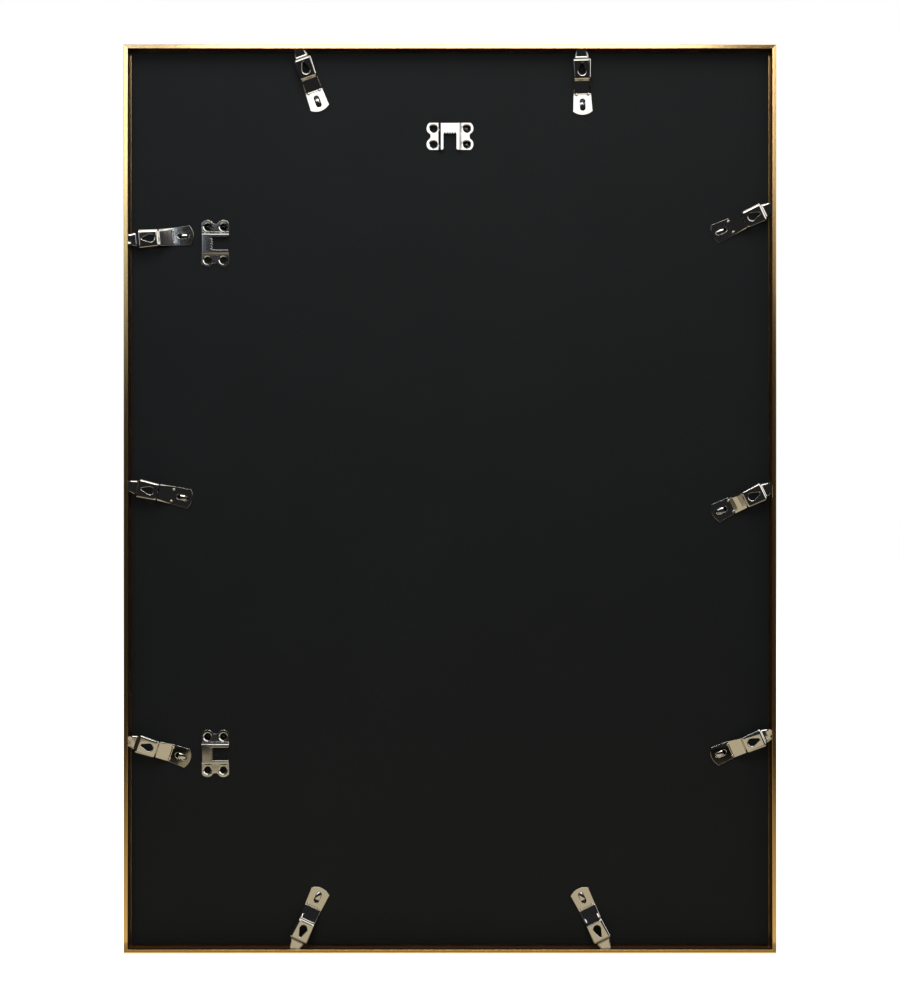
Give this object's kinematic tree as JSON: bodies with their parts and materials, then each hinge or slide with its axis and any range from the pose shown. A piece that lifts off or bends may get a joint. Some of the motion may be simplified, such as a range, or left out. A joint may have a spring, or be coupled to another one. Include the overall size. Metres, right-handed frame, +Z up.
{
  "type": "picture frame",
  "caption": "Upright rectangular picture frame in narrow gold metal, with a black back panel held by turning spring clips and hangers for both ways up.",
  "frame": {"origin": "centre of the frame's bounding box", "axes": "+Z up; +X to the right as the back is seen; +Y from the back towards the glazed front"},
  "size_m": [0.509, 0.017, 0.709],
  "materials": {
    "gold_rail": "gold anodised, satin",
    "key_steel": "plain",
    "clip_steel": "nickel plated, polished",
    "hanger_steel": "zinc plated, bright",
    "black_hardboard": "black, matte",
    "clear_glass": "polished",
    "blank_paper": "smooth, matte"
  },
  "bodies": {
    "frame": {"rail_top": "gold_rail", "rail_bottom": "gold_rail", "rail_left": "gold_rail", "rail_right": "gold_rail", "corner_key_top_left": "key_steel", "corner_key_top_right": "key_steel", "corner_key_bottom_left": "key_steel", "corner_key_bottom_right": "key_steel", "glazing": "clear_glass", "picture_sheet": "blank_paper", "back_panel": "black_hardboard", "hanger_top": "hanger_steel", "hanger_side_upper": "hanger_steel", "hanger_side_lower": "hanger_steel"},
    "clip_top_left": {"clip_top_left": "clip_steel"},
    "clip_top_right": {"clip_top_right": "clip_steel"},
    "clip_left_upper": {"clip_left_upper": "clip_steel"},
    "clip_left_middle": {"clip_left_middle": "clip_steel"},
    "clip_left_lower": {"clip_left_lower": "clip_steel"},
    "clip_right_upper": {"clip_right_upper": "clip_steel"},
    "clip_right_middle": {"clip_right_middle": "clip_steel"},
    "clip_right_lower": {"clip_right_lower": "clip_steel"},
    "clip_bottom_left": {"clip_bottom_left": "clip_steel"},
    "clip_bottom_right": {"clip_bottom_right": "clip_steel"}
  },
  "joints": [
    {"name": "clip_top_left_turn", "type": "hinge", "parent": "frame", "child": "clip_top_left", "pos_m": [-0.104, 0.0015, 0.31183], "axis": [0, -1, 0], "range_deg": [0, 70]},
    {"name": "clip_top_right_turn", "type": "hinge", "parent": "frame", "child": "clip_top_right", "pos_m": [0.104, 0.0015, 0.30933], "axis": [0, -1, 0], "range_deg": [-92, 88]},
    {"name": "clip_left_upper_turn", "type": "hinge", "parent": "frame", "child": "clip_left_upper", "pos_m": [-0.20946, 0.0015, 0.206], "axis": [0, -1, 0], "range_deg": [-95, 85]},
    {"name": "clip_left_middle_turn", "type": "hinge", "parent": "frame", "child": "clip_left_middle", "pos_m": [-0.21038, 0.0015, 0.001], "axis": [0, -1, 0], "range_deg": [-77, 0]},
    {"name": "clip_left_lower_turn", "type": "hinge", "parent": "frame", "child": "clip_left_lower", "pos_m": [-0.21159, 0.0015, -0.202], "axis": [0, -1, 0], "range_deg": [-71, 0]},
    {"name": "clip_right_upper_turn", "type": "hinge", "parent": "frame", "child": "clip_right_upper", "pos_m": [0.21324, 0.0015, 0.21], "axis": [0, -1, 0], "range_deg": [0, 65]},
    {"name": "clip_right_middle_turn", "type": "hinge", "parent": "frame", "child": "clip_right_middle", "pos_m": [0.21355, 0.0015, -0.009], "axis": [0, -1, 0], "range_deg": [0, 64]},
    {"name": "clip_right_lower_turn", "type": "hinge", "parent": "frame", "child": "clip_right_lower", "pos_m": [0.21293, 0.0015, -0.2], "axis": [0, -1, 0], "range_deg": [0, 66]},
    {"name": "clip_bottom_left_turn", "type": "hinge", "parent": "frame", "child": "clip_bottom_left", "pos_m": [-0.104, 0.0015, -0.31323], "axis": [0, -1, 0], "range_deg": [-65, 0]},
    {"name": "clip_bottom_right_turn", "type": "hinge", "parent": "frame", "child": "clip_bottom_right", "pos_m": [0.104, 0.0015, -0.31355], "axis": [0, -1, 0], "range_deg": [0, 64]}
  ]
}
